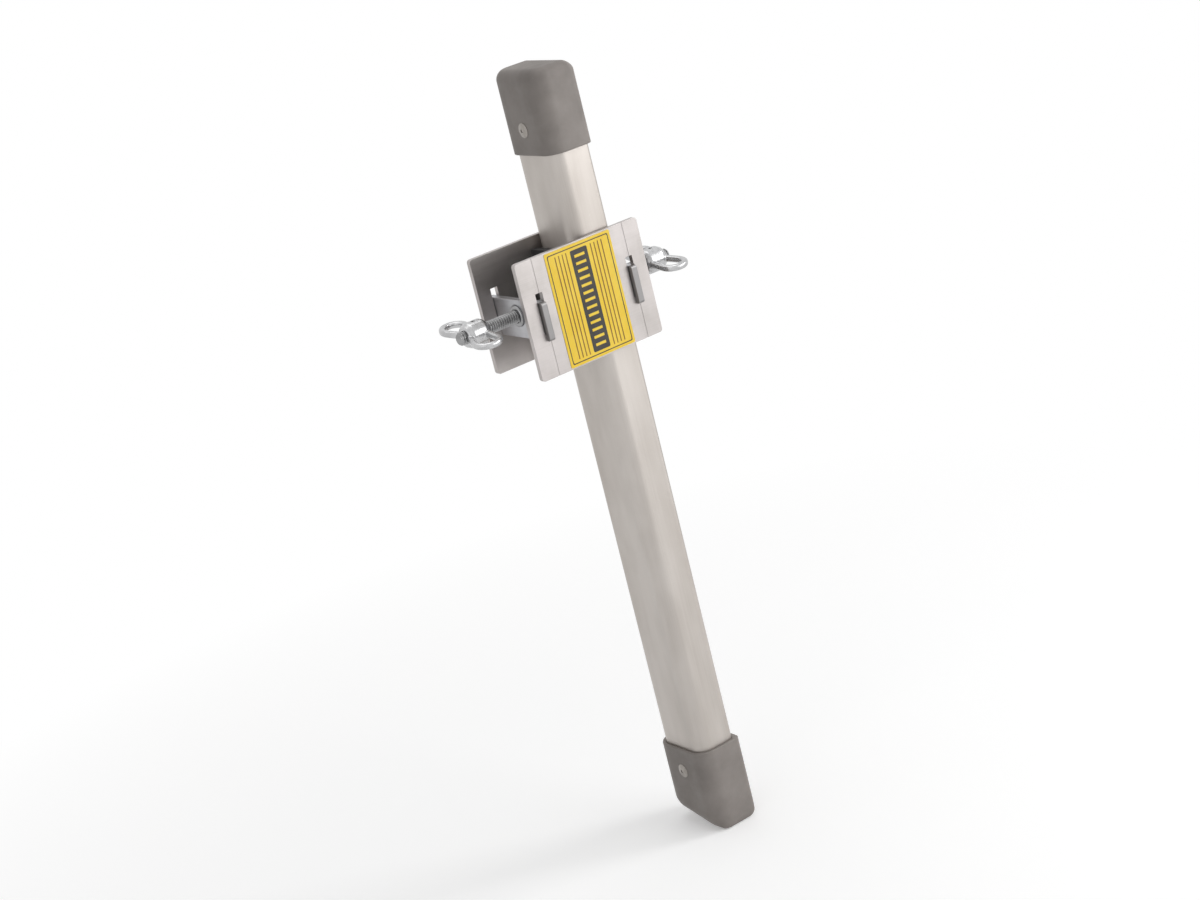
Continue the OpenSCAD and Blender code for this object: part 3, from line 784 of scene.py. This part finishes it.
def evenPath(path, count):
    # points at even steps along a closed line
    points = path + path[:1]
    lengths = [0.0]
    for a, b in zip(points, points[1:]):
        lengths.append(lengths[-1] + (b - a).length)
    even = []
    index = 0
    for k in range(count):
        want = lengths[-1] * k / count
        while lengths[index + 1] < want:
            index += 1
        share = (want - lengths[index]) / (lengths[index + 1] - lengths[index])
        even.append(points[index].lerp(points[index + 1], share))
    return even


def squared(value):
    # draws a circle's coordinate out towards a square's
    return math.copysign(abs(value) ** wingSettings["squareness"], value)


def addLoop(bm, line, length, place, middle, mirror):
    # a band with a rounded section, carried round the loop's middle line
    choice = wingSettings
    near, far = choice["thick"]
    rings = []
    for i, p in enumerate(line):
        along = (line[(i + 1) % len(line)] - line[i - 1]).normalized()
        across = Vector((along.y, -along.x)) * choice["band"] / 2
        thick = near + (far - near) * min(1.0, max(0.0, p.y / length))
        ring = []
        for k in range(choice["around"]):
            angle = 2 * math.pi * k / choice["around"]
            spot = p + across * squared(math.cos(angle))
            height = thick * squared(math.sin(angle))
            ring.append(bm.verts.new(place(middle + spot.x, mirror * spot.y, height)))
        rings.append(ring)
    for ring, after in zip(rings, rings[1:] + rings[:1]):
        bridge(bm, ring, after)


def makeWing(sideName):
    choice = wingSettings
    side = sideOf[sideName]
    node = sideName + "_wing"
    place = sidePlace(side, choice["turn"])
    first = outward(node, side)[0]
    last, middle = first + choice["hubLength"], first + choice["hubLength"] / 2
    near, far = choice["collars"]
    collar, hub = choice["collarRadius"], choice["hubRadius"]
    corners = [(first, 0, 0), (first, collar, choice["collarRound"]), (first + near, hub, choice["hubRound"]),
               (last - far, hub, choice["hubRound"]), (last, collar, choice["collarRound"]), (last, 0, 0)]
    bm = bmesh.new()
    lathe(bm, roundedPath(corners, choice["hubSteps"], closed=False), place, choice["hubAround"])
    path, length = loopPath()
    line = evenPath(path, choice["loopPoints"])
    for mirror in (-1, 1):
        addLoop(bm, line, length, place, middle, mirror)
    piece = finishMesh(sideName + "Wing", bm, materials["brightZinc"])
    skinned(piece, choice["voxel"], choice["smooth"])
    through = 2 * choice["hubLength"]
    pinAxis = place(0, 0, 1) - place(0, 0, 0)
    drilled(piece, [(place(middle, 0, 0), Vector((1, 0, 0)), choice["bore"] / 2, through),
                    (place(middle, 0, 0), pinAxis, choice["pinHole"] / 2, through)])
    return dress(piece, sideName + "_spindle", "bright_zinc", node)


for sideName in sideOf:
    makeWing(sideName)
print("wings made")


# wing pins: rolled spring pins, open along one side
pinSettings = {"wall": 0.6 * mm, "slit": math.radians(34), "chamfer": (0.5 * mm, 0.25 * mm), "steps": 28}


def makePin(sideName):
    side = sideOf[sideName]
    node = sideName + "_wing_pin"
    place = sidePlace(side, wingSettings["turn"])
    near, far = outward(node, side)
    middle, outer = (near + far) / 2, (far - near) / 2
    inner = outer - pinSettings["wall"]
    half, gap, steps = wingSettings["hubRadius"], pinSettings["slit"], pinSettings["steps"]
    rise, draw = pinSettings["chamfer"]
    bm = bmesh.new()
    rows = []
    for z, taper in ((-half, draw), (rise - half, 0), (half - rise, 0), (half, draw)):
        row = []
        for radius in (outer - taper, inner):
            for k in range(steps + 1):
                angle = gap / 2 + (2 * math.pi - gap) * k / steps
                spot = place(middle + radius * math.cos(angle), radius * math.sin(angle), z)
                row.append(bm.verts.new(spot))
        rows.append(row)
    count = steps + 1  # points on each wall of a row
    rings = [row[:count] + row[:count - 1:-1] for row in rows]
    for a, b in zip(rings, rings[1:]):
        bridge(bm, a, b)
    for row in (rows[0], rows[-1]):
        for k in range(steps):
            bm.faces.new((row[k], row[k + 1], row[count + k + 1], row[count + k]))
    piece = finishMesh(sideName + "WingPin", bm, materials["zincSteel"])
    return dress(piece, sideName + "_spindle", "zinc_steel", node)


for sideName in sideOf:
    makePin(sideName)
print("pins made")


# pads: turned discs with a boss, a grooved rubber face and a spring clip
padSettings = {"disc": 4.5 * mm, "discEdge": 0.8 * mm, "boss": 9.5 * mm, "bossFoot": 0.6 * mm,
               "bossEdge": 0.7 * mm, "mouth": 6.1 * mm, "mouthEdge": 0.3 * mm, "socketDepth": 5.6 * mm,
               "facingEdges": (0.7 * mm, 0.3 * mm), "grooves": 3, "grooveDepth": 0.7 * mm,
               "grooveHalves": (0.7 * mm, 0.25 * mm), "clipEdge": 0.2 * mm, "steps": 5, "around": 72}


def padRadius(sideName):
    low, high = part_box(sideName + "_pad")
    return (high.z - low.z) / 2


def turnedOutline(corners, side):
    # a bmesh turned from rounded corners of distance and radius
    bm = bmesh.new()
    profile = roundedPath(corners, padSettings["steps"], closed=False)
    lathe(bm, profile, sidePlace(side), padSettings["around"])
    return bm


def makePad(sideName):
    choice = padSettings
    side = sideOf[sideName]
    node = sideName + "_pad"
    radius, boss, mouth = padRadius(sideName), choice["boss"], choice["mouth"]
    first, last = outward(node, side)
    step, bottom = first + choice["disc"], last - choice["socketDepth"]
    corners = [(first, 0, 0), (first, radius, choice["discEdge"]), (step, radius, choice["discEdge"]),
               (step, boss, choice["bossFoot"]), (last, boss, choice["bossEdge"]),
               (last, mouth, choice["mouthEdge"]), (bottom, mouth, 0), (bottom, 0, 0)]
    piece = finishMesh(sideName + "Pad", turnedOutline(corners, side), materials["zincSteel"])
    return dress(piece, sideName + "_shoe", "zinc_steel", node)


def makeFacing(sideName):
    choice = padSettings
    side = sideOf[sideName]
    node = sideName + "_pad_facing"
    radius = padRadius(sideName)
    near, far = outward(node, side)
    bottom = near + choice["grooveDepth"]
    nearEdge, farEdge = choice["facingEdges"]
    wide, narrow = choice["grooveHalves"]
    corners = [(far, 0, 0), (far, radius, farEdge), (near, radius, nearEdge)]
    for i in range(choice["grooves"], 0, -1):
        r = radius * i / (choice["grooves"] + 1)
        corners += [(near, r + wide, 0), (bottom, r + narrow, 0)]
        corners += [(bottom, r - narrow, 0), (near, r - wide, 0)]
    corners.append((near, 0, 0))
    piece = finishMesh(sideName + "PadFacing", turnedOutline(corners, side), materials["blackRubber"],
                       sharpAngle=26)
    return dress(piece, sideName + "_shoe", "black_rubber", node)


def makeClip(sideName):
    node = sideName + "_pad_clip"
    piece = softened(sideName + "PadClip", node, materials["zincSteel"], padSettings["clipEdge"], segments=2)
    return dress(piece, sideName + "_shoe", "zinc_steel", node)


for sideName in sideOf:
    makePad(sideName)
    makeFacing(sideName)
    makeClip(sideName)
print("pads made")


# label: yellow film with a dark band of bars, ruled lines and a thin border
labelSettings = {"corner": 1.25 * mm, "lift": 0.06 * mm, "inset": 2.0 * mm, "border": 0.7 * mm,
                 "bandWidth": 15 * mm, "bandInset": 4.6 * mm, "bandCorner": 1.2 * mm,
                 "barGap": 5.6 * mm, "bar": (9 * mm, 2 * mm), "ruleWidth": 0.8 * mm,
                 "rules": (3.6 * mm, 6.8 * mm, 10.0 * mm, 13.2 * mm), "sheetSteps": 6, "borderSteps": 5}
labelX = (labelLow.x + labelHigh.x) / 2
inkY = labelLow.y - labelSettings["lift"]  # front of what is printed on the film
bandLow = labelLow.z + labelSettings["bandInset"]
bandHigh = labelHigh.z - labelSettings["bandInset"]


def rectangle(x0, z0, x1, z1, r):
    return [(x0, z0, r), (x1, z0, r), (x1, z1, r), (x0, z1, r)]


def makeSheet(name, corners, front, back, finish, *nodes):
    path = roundedPath(corners, labelSettings["sheetSteps"])
    bm = bmesh.new()
    faces = [[bm.verts.new((p.x, y, p.y)) for p in path] for y in (front, back)]
    bridge(bm, *faces)
    for ring in faces:
        bm.faces.new(ring)
    return dress(finishMesh(name, bm, materials[finish]), "front", "label_film", *nodes)


def makeBorder(name):
    # a thin frame, flat in the label's plane
    choice = labelSettings
    bm = bmesh.new()
    loops = []
    for inset in (choice["inset"], choice["inset"] + choice["border"]):
        corners = rectangle(labelLow.x + inset, labelLow.z + inset, labelHigh.x - inset, labelHigh.z - inset,
                            choice["corner"])
        path = roundedPath(corners, choice["borderSteps"])
        loops.append([[bm.verts.new((p.x, y, p.y)) for p in path] for y in (inkY, labelLow.y)])
    (outFront, outBack), (inFront, inBack) = loops
    for a, b in ((outFront, inFront), (outBack, inBack), (outFront, outBack), (inFront, inBack)):
        bridge(bm, a, b)
    return dress(finishMesh(name, bm, materials["blackInk"]), "front", "label_film")


def makeSheets():
    choice = labelSettings
    whole = rectangle(labelLow.x, labelLow.z, labelHigh.x, labelHigh.z, choice["corner"])
    makeSheet("labelSheet", whole, labelLow.y, labelHigh.y, "yellowFilm", "label")
    makeBorder("labelBorder")
    half = choice["bandWidth"] / 2
    band = rectangle(labelX - half, bandLow, labelX + half, bandHigh, choice["bandCorner"])
    makeSheet("labelBand", band, inkY, labelLow.y, "blackInk")


def markTree():
    # a line of flat marks, evenly spaced
    tree, start, end = nodeTree("labelMarks", [
        ("Count", "NodeSocketInt"), ("Start", "NodeSocketVector"), ("Step", "NodeSocketVector"),
        ("Size", "NodeSocketVector"), ("Finish", "NodeSocketMaterial")])
    line = addNode(tree, "GeometryNodeMeshLine", {
        "Count": start.outputs["Count"], "Start Location": start.outputs["Start"],
        "Offset": start.outputs["Step"]})
    mark = addNode(tree, "GeometryNodeMeshCube", {"Size": start.outputs["Size"]})
    endInCopies(tree, line.outputs["Mesh"], mark.outputs["Mesh"], start.outputs["Finish"], end)
    return tree


def makeMarks(name, tree, finish, values):
    piece = meshObject(name, bpy.data.meshes.new(name), materials[finish])
    runTree(piece, tree, dict(values, Finish=materials[finish]))
    return dress(piece, "front", "label_film")


def makePrint():
    choice = labelSettings
    tree = markTree()
    flat = 2 * choice["lift"]
    middle = (bandLow + bandHigh) / 2
    gap = choice["barGap"]
    count = int((bandHigh - bandLow) / gap)
    length, width = choice["bar"]
    makeMarks("labelScale", tree, "yellowFilm", {
        "Count": count, "Start": (labelX, inkY, middle - gap * (count - 1) / 2),
        "Step": (0, 0, gap), "Size": (length, flat, width)})
    for i, offset in enumerate(choice["rules"]):
        for edge, way in (("Left", -1), ("Right", 1)):
            x = labelX + way * (choice["bandWidth"] / 2 + offset)
            makeMarks("labelRule" + edge + str(i + 1), tree, "brownInk", {
                "Count": 1, "Start": (x, inkY, middle), "Step": (0, 0, 0),
                "Size": (choice["ruleWidth"], flat, bandHigh - bandLow)})


makeSheets()
makePrint()
print("label made")


# floor, light and camera
stageSettings = {"radius": 4.0, "sides": 96, "gap": 0.2 * mm, "colour": (0.90, 0.90, 0.90), "roughness": 0.85,
                 "specular": 0.15, "lift": 0.27, "fade": (0.46, 0.95), "ambient": 0.40}
white = (1.0, 1.0, 1.0, 1.0)


def showsWhite(tree):
    # 1 where the background is seen, directly or in metal
    path = addNode(tree, "ShaderNodeLightPath")
    seen = arithmetic(tree, "MAXIMUM", path.outputs["Is Camera Ray"], path.outputs["Is Glossy Ray"])
    return arithmetic(tree, "MAXIMUM", seen, path.outputs["Is Transmission Ray"])


def floorFinish():
    # pale near the foot, so that its shadow shows, and white further out
    choice = stageSettings
    material, tree, shader = newMaterial("paleFloor")
    shader.inputs["Base Color"].default_value = (*choice["colour"], 1.0)
    shader.inputs["Roughness"].default_value = choice["roughness"]
    shader.inputs["Specular IOR Level"].default_value = choice["specular"]
    shader.inputs["Emission Color"].default_value = white
    seen = showsWhite(tree)
    tree.links.new(arithmetic(tree, "MULTIPLY", seen, choice["lift"]), shader.inputs["Emission Strength"])
    coords = addNode(tree, "ShaderNodeTexCoord")
    reach = addNode(tree, "ShaderNodeVectorMath", {0: coords.outputs["Object"]}, operation="LENGTH")
    far = arithmetic(tree, "MULTIPLY", remap(tree, reach.outputs["Value"], *choice["fade"]), seen)
    plain = addNode(tree, "ShaderNodeEmission", {"Color": white, "Strength": 1.0})
    mix = addNode(tree, "ShaderNodeMixShader", {
        0: far, 1: shader.outputs["BSDF"], 2: plain.outputs["Emission"]})
    output = [node for node in tree.nodes if node.type == "OUTPUT_MATERIAL"][0]
    tree.links.new(mix.outputs["Shader"], output.inputs["Surface"])
    return material


def makeFloor():
    bm = bmesh.new()
    choice = stageSettings
    bmesh.ops.create_circle(bm, cap_ends=True, segments=choice["sides"], radius=choice["radius"],
                            matrix=Matrix.Translation((cageX, 0, soleZ - choice["gap"])))
    mesh = bpy.data.meshes.new("floor")
    bm.to_mesh(mesh)
    bm.free()
    floor = meshObject("floor", mesh, floorFinish())
    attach(floor, "leg")  # the foot stays on the floor in every pose


def makeWorld():
    world = bpy.data.worlds.new("studio")
    scene.world = world
    world.use_nodes = True
    tree = world.node_tree
    tree.nodes.clear()
    output = addNode(tree, "ShaderNodeOutputWorld")
    strength = arithmetic(tree, "MAXIMUM", showsWhite(tree), stageSettings["ambient"])
    background = addNode(tree, "ShaderNodeBackground", {"Color": white, "Strength": strength})
    tree.links.new(background.outputs["Background"], output.inputs["Surface"])


lampSettings = {
    "keyLamp": {"place": (1.3, -1.9, 0.25), "size": 2.0, "energy": 25},
    "sideLamp": {"place": (1.9, -1.0, 1.1), "size": 0.7, "energy": 14},
    "fillLamp": {"place": (-2.0, -1.1, 0.9), "size": 1.6, "energy": 4},
    "topLamp": {"place": (0.3, 0.5, 2.2), "size": 1.6, "energy": 10},
}
lampAim = Vector((cageX, 0, -0.12))


def makeLamps():
    for name, choice in lampSettings.items():
        data = bpy.data.lights.new(name, "AREA")
        data.shape = "SQUARE"
        data.size = choice["size"]
        data.energy = choice["energy"]
        lamp = bpy.data.objects.new(name, data)
        lamp.location = choice["place"]
        lamp.rotation_euler = (lampAim - lamp.location).to_track_quat("-Z", "Y").to_euler()
        scene.collection.objects.link(lamp)


cameraSettings = {"place": (-0.906, -1.4825, 0.431), "aim": (0.0153, 0, -0.12), "roll": math.radians(-14.06),
                  "lens": 74, "sensor": 36}


def makeCamera():
    data = bpy.data.cameras.new("photoCamera")
    data.sensor_width = cameraSettings["sensor"]
    data.lens = cameraSettings["lens"]
    camera = bpy.data.objects.new("photoCamera", data)
    camera.location = cameraSettings["place"]
    look = (Vector(cameraSettings["aim"]) - camera.location).to_track_quat("-Z", "Y")
    camera.rotation_mode = "QUATERNION"
    camera.rotation_quaternion = look @ Quaternion((0, 0, 1), cameraSettings["roll"])
    scene.collection.objects.link(camera)
    scene.camera = camera


makeFloor()
makeWorld()
makeLamps()
makeCamera()
scene.view_settings.view_transform = "Standard"
print("stage made")
